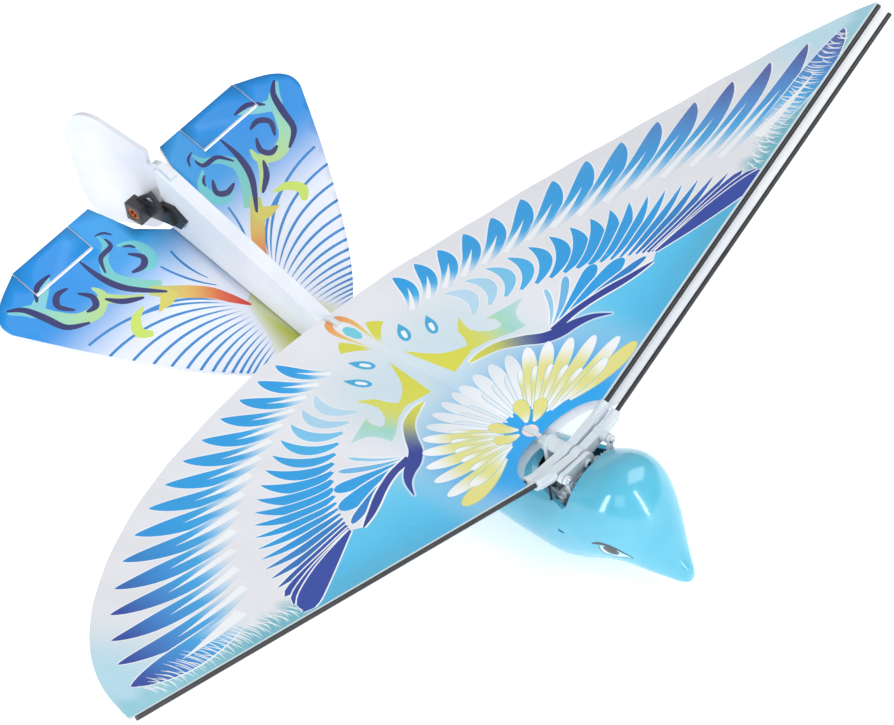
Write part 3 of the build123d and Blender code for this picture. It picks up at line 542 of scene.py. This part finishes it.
def film_place(side, drop, ripple):
    """Where a point of the drawing lies: sloped by the dihedral, drooping towards the tip's back."""
    def at(a, b):
        behind = max(0.0, a - TWIST_FROM - SWEEP * (b - ROD_ROOT_B))
        z = PIVOT_Z + b * SLOPE - drop - TWIST[side] * b * behind
        soft = step(2, 26, behind) * step(4, 30, b)
        z += ripple * soft * (sin(b / 9.5 + behind / 17.0) + 0.5 * sin(b / 4.3 - behind / 7.5))
        return (-a, SIDE[side] * b, z)
    return at


def wing_films(print_look, plain_look):
    """The four film halves. Each has its front edge set from its own rod; the upper ones end at the keel's
    top edge at the back.
    """
    for side in ("left", "right"):
        upper_rod, lower_rod = (-2.0, 2.0) if side == "left" else (2.0, -2.0)
        layers = (("upper", upper_rod, 0.0, 1.0), ("lower", lower_rod, LOWER_DROP, LOWER_SCALE))
        for layer, rod, drop, scale in layers:
            front = -rod + EDGE_BEHIND_ROD
            node = f"film_{side}_{layer}"
            is_upper = layer == "upper"
            notch = NOTCH if is_upper else LOWER_NOTCH
            shapes = wing_print(front) if is_upper else []
            ground = wing_ground(front) if is_upper else (lambda a, b: WHITE)
            outline = film_outline(front, scale, notch)
            piece = printed_mesh(f"{node}_sheet", outline, shapes, ground,
                                 film_place(side, drop, 0.3), 4.0, side == "left")
            piece.data.materials.append(print_look if is_upper else plain_look)
            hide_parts(node)
            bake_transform(piece)


# ---------------------------------------------------------------- the tail's print


def tail_print():
    made = []
    # yellow band beside the keel, and the blue lines that fan out from it
    band = [(130.0, -1.0), (127.0, 6.2), (119.4, 8.6), (113.5, 10.6), (104.0, 17.0), (96.0, 12.0),
            (96.0, -1.0)]
    for n in range(18):
        inner = (133.6 - 1.52 * n, 8.4 + 0.05 * (n - 8) ** 2)
        angle = radians(40 - 8.6 * n + 0.26 * n * n)
        reach = 46 if n > 1 else (16 - 4 * n if n == 0 else 26)
        outer = (inner[0] + reach * sin(angle), inner[1] + reach * cos(angle))
        path = bowed(inner, outer, -0.11 * reach)
        made.append(shape(ribbon(path, widths(0.25, 0.85, 0.85, 0.8), 16), LINE_BLUE, away(inner, 0.0, 5.0)))
    for start, end in (((140.6, 8.0), (154.4, 9.2)), ((137.2, 8.0), (152.8, 15.6))):
        made.append(shape(ribbon(bowed(start, end, 1.0), widths(0.3, 0.8, 0.7), 8), LINE_BLUE))
    made.append(shape(band, along((106, 16), (110, 4), [(0.0, rgb(216, 218, 110)), (1.0, rgb(190, 196, 70))]),
                      lambda a, b: step(17, 8, b + (a - 104) * 0.35)))
    # green scrolls
    green = rgb(176, 208, 128)
    stops = [(0.0, rgb(92, 186, 200)), (0.6, rgb(122, 198, 186)), (1.0, rgb(200, 196, 92))]
    scroll = through((173.0, 21.6), (168.6, 22.6), (165.4, 27.0), (160.0, 29.4), (153.6, 26.0), (148.0, 20.4))
    made.append(shape(ribbon(scroll, widths(0.4, 2.2, 3.0, 4.4, 4.6, 4.0), 26),
                      along((170, 20), (140, 14), stops)))
    hook = through((166.6, 20.0), (163.4, 15.6), (158.6, 14.6), (155.4, 17.4), (156.6, 21.4))
    made.append(shape(ribbon(hook, widths(0.6, 2.6, 4.0, 3.8, 0.8), 20), rgb(104, 196, 204)))
    stops = [(0.0, rgb(110, 192, 204)), (0.5, rgb(150, 208, 176)), (1.0, green)]
    outer_scroll = through((172.6, 62.0), (168.6, 56.2), (162.6, 52.4), (157.2, 48.0), (155.4, 41.6),
                           (157.8, 36.2), (161.8, 36.6))
    made.append(shape(ribbon(outer_scroll, widths(0.4, 4.4, 4.0, 4.4, 4.4, 3.2, 0.6), 30),
                      along((172, 58), (154, 38), stops)))
    made.append(shape(ribbon(through((172.6, 43.4), (170.4, 48.4), (167.8, 54.0)), widths(0.3, 3.0, 4.6), 12),
                      rgb(120, 196, 206)))
    spur = through((157.0, 36.6), (152.8, 32.4), (149.6, 26.6))
    made.append(shape(ribbon(spur, widths(3.6, 2.8, 0.3), 10), green))
    # red stem that forks into the scrolls
    stem = through((125.6, 5.4), (131.0, 8.2), (136.4, 11.2), (141.0, 15.6), (145.6, 20.8), (149.6, 24.6))
    stops = [(0.0, rgb(206, 58, 52)), (0.3, rgb(222, 110, 66)), (0.62, rgb(214, 178, 82)),
             (1.0, rgb(178, 198, 110))]
    heat = along((127, 6), (150, 23), stops)
    made.append(shape(ribbon(stem, widths(0.5, 3.0, 4.0, 4.4, 4.4, 3.0), 24), heat))
    made.append(shape([(146.8, 19.6), (146.0, 23.4), (142.6, 28.2), (141.8, 23.0), (142.8, 18.6)],
                      rgb(206, 196, 88)))
    made.append(shape(ribbon(through((147.0, 30.0), (145.6, 35.0), (142.0, 37.6), (138.8, 34.8)),
                             widths(0.4, 3.0, 4.0, 1.6), 16), rgb(192, 216, 92)))
    # navy strokes inside them
    strokes = [
        ((173.2, 22.4), (172.2, 19.6), (170.0, 18.0)),
        ((170.6, 20.8), (167.6, 21.4), (166.8, 26.8), (162.4, 29.6)),
        ((165.2, 19.0), (163.8, 17.0), (162.2, 16.2)),
        ((162.4, 19.6), (158.6, 17.0), (156.4, 19.4), (157.2, 23.6)),
        ((170.3, 32.4), (162.2, 31.9), (154.6, 28.9), (145.7, 20.7)),
        ((173.2, 42.4), (172.9, 48.4), (169.4, 52.6)),
        ((166.5, 42.0), (167.0, 46.2), (164.2, 48.9), (160.0, 46.1)),
        ((163.3, 41.2), (159.6, 38.8), (156.8, 40.4), (157.2, 44.0)),
        ((173.4, 61.6), (170.2, 57.4), (164.2, 54.8), (157.7, 52.4), (154.1, 46.0)),
        ((156.6, 36.6), (152.4, 33.2), (149.0, 27.4))]
    weights = [0.7, 1.5, 0.8, 2.0, 2.2, 1.6, 2.0, 2.0, 2.3, 1.8]
    for points, weight in zip(strokes, weights):
        swell = lambda t, w=weight: 0.15 + w * sin(pi * min(1.0, t * 0.86 + 0.06))
        made.append(shape(ribbon(through(*points), swell, 18), NAVY))
    return made


def tail_ground(a, b):
    blue = step(137, 163, a + 0.06 * (b - 30))
    return mix(rgb(226, 231, 243), mix(TAIL_BLUE, rgb(48, 158, 228), step(40, 10, b)), blue)


def top_outline(node):
    """The rim of a plate's upper face, in order, as drawing points."""
    mesh = nodes[node].data
    edges = set()
    for face in mesh.polygons:
        if face.normal.z > 0.8:
            corners = [tuple(round(c, 7) for c in mesh.vertices[v].co) for v in face.vertices]
            edges.update(zip(corners, corners[1:] + corners[:1]))
    after = {p: q for p, q in edges if (q, p) not in edges}
    loops = []
    while after:
        start = min(after)
        point, loop = start, []
        while point in after:
            loop.append((-point[0] / MM, abs(point[1]) / MM))
            point = after.pop(point)
        loops.append(loop)
    return max(loops, key=lambda loop: max(p[0] for p in loop) - min(p[0] for p in loop))


def tail_plates(print_look, foam_look):
    """Plates and trim tabs: printed on top, bare foam at the edges and below."""
    for node, side, body in (("tail_plate_left", 1, "fuselage"), ("tail_plate_right", -1, "fuselage"),
                             ("trim_tab_left", 1, "left_tab"), ("trim_tab_right", -1, "right_tab")):
        low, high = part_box(node)
        back_a, back_z = -low[0] / MM, high[2] / MM

        def place(a, b, side=side, back_a=back_a, back_z=back_z):
            return (-a, side * b, back_z + TAIL_SLOPE * (a - back_a))

        piece = printed_mesh(f"{node}_printed", top_outline(node), tail_print(), tail_ground, place, 5.0,
                             side > 0)
        piece.data.materials.append(print_look)
        piece.data.materials.append(foam_look)
        thick = piece.modifiers.new("board", "SOLIDIFY")
        thick.thickness = TAIL_T * MM
        thick.offset = -1
        thick.use_even_offset = True
        thick.material_offset = 1
        thick.material_offset_rim = 1
        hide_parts(node)
        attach(piece, body)


# ---------------------------------------------------------------- materials


def material(name, colour, roughness, metallic=0.0, coat=0.0, coat_roughness=0.05, alpha=1.0, subsurface=0.0):
    made = bpy.data.materials.new(name)
    made.use_nodes = True
    shader = made.node_tree.nodes["Principled BSDF"]
    shader.inputs["Base Color"].default_value = (*colour, 1.0)
    shader.inputs["Roughness"].default_value = roughness
    shader.inputs["Metallic"].default_value = metallic
    shader.inputs["Coat Weight"].default_value = coat
    shader.inputs["Coat Roughness"].default_value = coat_roughness
    shader.inputs["Alpha"].default_value = alpha
    shader.inputs["Subsurface Weight"].default_value = subsurface
    shader.inputs["Subsurface Scale"].default_value = 0.002
    return made, made.node_tree, shader


def noise(tree, scale, detail=3.0, stretch=(1, 1, 1)):
    """A noise that sits on the object itself, in its own metres."""
    place = tree.nodes.new("ShaderNodeTexCoord")
    turn = tree.nodes.new("ShaderNodeMapping")
    turn.inputs["Scale"].default_value = stretch
    made = tree.nodes.new("ShaderNodeTexNoise")
    made.inputs["Scale"].default_value = scale
    made.inputs["Detail"].default_value = detail
    tree.links.new(place.outputs["Object"], turn.inputs["Vector"])
    tree.links.new(turn.outputs["Vector"], made.inputs["Vector"])
    return made


def spread(tree, source, low, high, socket):
    """Feeds a noise to a socket, spread from low to high."""
    band = tree.nodes.new("ShaderNodeMapRange")
    band.inputs["From Min"].default_value = 0.3
    band.inputs["From Max"].default_value = 0.7
    band.inputs["To Min"].default_value = low
    band.inputs["To Max"].default_value = high
    tree.links.new(source.outputs["Fac"], band.inputs["Value"])
    tree.links.new(band.outputs["Result"], socket)


def bump(tree, shader, source, strength, distance):
    made = tree.nodes.new("ShaderNodeBump")
    made.inputs["Strength"].default_value = strength
    made.inputs["Distance"].default_value = distance
    tree.links.new(source.outputs["Fac"], made.inputs["Height"])
    tree.links.new(made.outputs["Normal"], shader.inputs["Normal"])


def tinted(tree, shader, source, first, second):
    """Base colour that wanders between two near tones."""
    blend = tree.nodes.new("ShaderNodeMix")
    blend.data_type = "RGBA"
    blend.inputs["A"].default_value = (*first, 1.0)
    blend.inputs["B"].default_value = (*second, 1.0)
    spread(tree, source, 0.0, 1.0, blend.inputs["Factor"])
    tree.links.new(blend.outputs["Result"], shader.inputs["Base Color"])


def printed(name, roughness, coat, wrinkle, depth):
    """Gloss print: the drawing's colours, slightly uneven ink, and the sheet's own fine wrinkles."""
    made, tree, shader = material(name, WHITE, roughness, coat=coat, coat_roughness=0.08)
    ink = tree.nodes.new("ShaderNodeAttribute")
    ink.attribute_name = "print"
    uneven = noise(tree, 90.0, 4.0)
    fade = tree.nodes.new("ShaderNodeMix")
    fade.data_type = "RGBA"
    fade.blend_type = "MULTIPLY"
    fade.inputs["Factor"].default_value = 0.06
    tree.links.new(ink.outputs["Color"], fade.inputs["A"])
    tree.links.new(uneven.outputs["Fac"], fade.inputs["B"])
    tree.links.new(fade.outputs["Result"], shader.inputs["Base Color"])
    creases = noise(tree, wrinkle, 2.0, (1.0, 0.28, 1.0))
    bump(tree, shader, creases, 0.35, depth)
    spread(tree, uneven, roughness - 0.06, roughness + 0.08, shader.inputs["Roughness"])
    return made


def plastic(name, colour, roughness, coat=0.0, grain=1400.0, depth=0.00003, subsurface=0.0, alpha=1.0):
    """Moulded plastic: a faint mould grain and a slight drift of tone."""
    made, tree, shader = material(name, colour, roughness, coat=coat, subsurface=subsurface, alpha=alpha)
    drift = noise(tree, 60.0, 3.0)
    tinted(tree, shader, drift, mix(colour, (0, 0, 0), 0.05), mix(colour, (1, 1, 1), 0.04))
    spread(tree, drift, roughness * 0.85, roughness * 1.2, shader.inputs["Roughness"])
    bump(tree, shader, noise(tree, grain, 2.0), 0.12, depth)
    return made


def metal(name, colour, roughness, stretch=(1, 1, 1)):
    """Drawn or turned metal, its scratches along one axis."""
    made, tree, shader = material(name, colour, roughness, metallic=1.0)
    lines = noise(tree, 900.0, 3.0, stretch)
    spread(tree, lines, roughness * 0.7, roughness * 1.4, shader.inputs["Roughness"])
    bump(tree, shader, lines, 0.15, 0.00003)
    return made


def carbon():
    """Pulled carbon rod: fibres run along the span."""
    made, tree, shader = material("carbon_rod", rgb(24, 25, 29), 0.32, coat=0.25)
    fibres = noise(tree, 1600.0, 2.0, (1.0, 0.02, 1.0))
    tinted(tree, shader, fibres, rgb(16, 17, 20), rgb(40, 42, 48))
    bump(tree, shader, fibres, 0.3, 0.00005)
    return made


def foam():
    """Closed-cell foam: small cells and a soft sheen."""
    made, tree, shader = material("foam_board", rgb(214, 220, 230), 0.55, coat=0.12, coat_roughness=0.3,
                                  subsurface=0.15)
    cells = tree.nodes.new("ShaderNodeTexVoronoi")
    cells.inputs["Scale"].default_value = 1100.0
    place = tree.nodes.new("ShaderNodeTexCoord")
    tree.links.new(place.outputs["Object"], cells.inputs["Vector"])
    dent = tree.nodes.new("ShaderNodeBump")
    dent.inputs["Strength"].default_value = 0.25
    dent.inputs["Distance"].default_value = 0.00008
    tree.links.new(cells.outputs["Distance"], dent.inputs["Height"])
    tree.links.new(dent.outputs["Normal"], shader.inputs["Normal"])
    tinted(tree, shader, noise(tree, 45.0, 4.0), rgb(208, 215, 226), rgb(224, 229, 236))
    return made


def windings():
    """Enamelled copper wire, turn beside turn."""
    made, tree, shader = material("copper_windings", rgb(178, 96, 50), 0.3, metallic=1.0)
    turns = tree.nodes.new("ShaderNodeTexWave")
    turns.bands_direction = "Y"
    turns.inputs["Scale"].default_value = 1500.0
    place = tree.nodes.new("ShaderNodeTexCoord")
    tree.links.new(place.outputs["Object"], turns.inputs["Vector"])
    bump(tree, shader, turns, 0.8, 0.0001)
    return made


def board():
    made, tree, shader = material("circuit_board", rgb(20, 92, 52), 0.4, coat=0.3)
    tinted(tree, shader, noise(tree, 700.0, 1.0), rgb(14, 78, 44), rgb(30, 112, 62))
    return made


looks = {
    "pod_shell": plastic("pod_gloss", rgb(72, 178, 208), 0.2, 0.6, 700.0, 0.00002, 0.12),
    "nylon": plastic("white_nylon", rgb(208, 219, 227), 0.34, 0.15, 1500.0, 0.00003, 0.35),
    "carbon": carbon(),
    "steel": metal("bright_steel", (0.62, 0.63, 0.66), 0.24, (0.05, 1, 1)),
    "brass_pinion": metal("brass_pinion_metal", (0.72, 0.5, 0.2), 0.3),
    "printed_film": printed("film_print", 0.3, 0.2, 70.0, 0.0006),
    "plain_film": plastic("clear_film", rgb(208, 215, 222), 0.22, 0.4, 400.0, 0.00006, 0.0, 0.58),
    "foam": foam(),
    "printed_foam": printed("tail_print_gloss", 0.42, 0.08, 120.0, 0.0003),
    "black_plastic": plastic("black_nylon", rgb(26, 27, 30), 0.4, 0.1, 1200.0, 0.00004),
    "copper_coil": windings(),
    "battery_wrap": plastic("battery_foil", rgb(196, 200, 208), 0.28, 0.3, 300.0, 0.00008),
    "board": board(),
}
for part in frame["record"]["subparts"]:
    mesh = nodes[part["node"]].data
    mesh.materials.clear()
    mesh.materials.append(looks[part["material_slot"]])

wing_films(looks["printed_film"], looks["plain_film"])
tail_plates(looks["printed_foam"], looks["foam"])


# ---------------------------------------------------------------- eyes


def eye_print():
    """An almond eye: heavy upper lid, pale ground, dark iris with two small lights."""
    lid = through((-18.2, 20.9), (-19.7, 21.8), (-21.2, 22.2), (-23.2, 22.2), (-25.2, 21.5), (-27.2, 20.2),
                  (-30.0, 17.8))
    low = through((-20.5, 22.0), (-20.7, 19.6), (-21.6, 17.9), (-23.4, 17.0), (-25.6, 16.9), (-27.8, 17.5),
                  (-30.0, 17.8))
    ground = [lid(0.3 + 0.7 * k / 14) for k in range(15)] + [low(1 - k / 14) for k in range(1, 15)]
    dark = rgb(34, 42, 56)
    glint = through((-21.2, 20.8), (-21.7, 19.0), (-23.2, 17.9))
    corner = through((-25.2, 18.2), (-26.8, 18.3), (-28.2, 18.8))
    return [shape(ground, rgb(150, 214, 232)),
            shape(ribbon(glint, widths(0.1, 0.8, 0.1), 10), PURE),
            shape(ribbon(corner, widths(0.1, 0.6, 0.1), 8), PURE),
            shape(ring((-24.0, 19.9), 2.4, 1.75, 20, 0.45), rgb(58, 66, 84)),
            shape(ring((-24.2, 20.2), 1.3, 1.1, 16, 0.45), rgb(22, 26, 36)),
            shape(ribbon(low, widths(0.3, 0.42, 0.35, 0.35, 0.35, 0.2), 18), dark),
            shape(ribbon(lid, widths(0.15, 1.0, 1.2, 1.1, 0.9, 0.6, 0.2), 20), dark)]


def eyes(look):
    """Thin printed eyes laid on both cheeks of the pod."""
    mesh = nodes["pod_upper"].data
    skin = BVHTree.FromPolygons([v.co for v in mesh.vertices], [list(p.vertices) for p in mesh.polygons])
    for side, word in ((1, "left"), (-1, "right")):
        def place(a, b, side=side):
            start = Vector((-a * MM, side * 0.04, b * MM))
            hit, normal, _, _ = skin.ray_cast(start, Vector((0, -side, 0)))
            lifted = hit + normal * (0.00005 if normal.y * side > 0 else -0.00005)
            return tuple(c / MM for c in lifted)

        outline = [(-31.0, 15.5), (-17.0, 15.5), (-17.0, 23.5), (-31.0, 23.5)]
        piece = printed_mesh(f"eye_{word}", outline, eye_print(), None, place, 1.0, side > 0)
        piece.data.materials.append(look)
        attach(piece, "fuselage")


eyes(printed("eye_ink", 0.25, 0.5, 200.0, 0.0001))


# ---------------------------------------------------------------- camera, light and floor


def camera():
    """Looks down on the bird from ahead of its right wing, as the photographer did."""
    azimuth, elevation, roll = radians(-42.4154), radians(46.2422), radians(-9.5283)
    back = Vector((cos(azimuth) * cos(elevation), sin(azimuth) * cos(elevation), sin(elevation)))
    right = (-back).cross(Vector((0, 0, 1))).normalized()
    up = right.cross(-back)
    tilted_right = right * cos(roll) + up * sin(roll)
    tilted_up = up * cos(roll) - right * sin(roll)
    aim = Vector((0, 0, 0.038)) - tilted_right * 0.036747 + tilted_up * 0.024594
    data = bpy.data.cameras.new("camera")
    data.lens = 191.1
    data.clip_start, data.clip_end = 0.05, 20.0
    made = bpy.data.objects.new("camera", data)
    turn = Matrix((tilted_right, tilted_up, back)).transposed().to_4x4()
    made.matrix_world = Matrix.Translation(aim + back * 1.39669) @ turn
    bpy.context.scene.collection.objects.link(made)
    bpy.context.scene.camera = made


def lamp(name, place, target, size, power, tint=(1, 1, 1)):
    data = bpy.data.lights.new(name, "AREA")
    data.shape = "RECTANGLE"
    data.size, data.size_y = size
    data.energy = power
    data.color = tint
    made = bpy.data.objects.new(name, data)
    made.location = place
    made.rotation_mode = "QUATERNION"
    made.rotation_quaternion = (Vector(target) - Vector(place)).to_track_quat("-Z", "Y")
    bpy.context.scene.collection.objects.link(made)


def stage():
    mesh = bpy.data.meshes.new("floor")
    reach = 6.0
    mesh.from_pydata([(-reach, -reach, 0), (reach, -reach, 0), (reach, reach, 0), (-reach, reach, 0)], [],
                     [(0, 1, 2, 3)])
    floor = bpy.data.objects.new("floor", mesh)
    floor.location.z = cad_box[0][2] - 0.0002
    look, _, shader = material("floor_paper", rgb(250, 250, 250), 0.9)
    shader.inputs["Emission Color"].default_value = (1, 1, 1, 1)
    shader.inputs["Emission Strength"].default_value = 0.4
    mesh.materials.append(look)
    bpy.context.scene.collection.objects.link(floor)


camera()
stage()
lamp("key", (0.5, 0.9, 1.5), (0, 0, 0), (1.2, 1.2), 14.0)
lamp("fill", (0.9, -1.2, 1.1), (0, 0, 0), (1.0, 1.0), 4.5)
lamp("strip_front", (1.05, 0.12, 0.4), (0.02, 0, 0.03), (0.10, 0.78), 4.0)
lamp("strip_right", (-0.12, -1.1, 0.5), (0.02, -0.01, 0.03), (0.22, 0.95), 6.0)
world = bpy.data.worlds.new("room")
world.use_nodes = True
world.node_tree.nodes["Background"].inputs["Color"].default_value = (1, 1, 1, 1)
world.node_tree.nodes["Background"].inputs["Strength"].default_value = 0.48
bpy.context.scene.world = world
bpy.context.scene.view_settings.view_transform = "Standard"
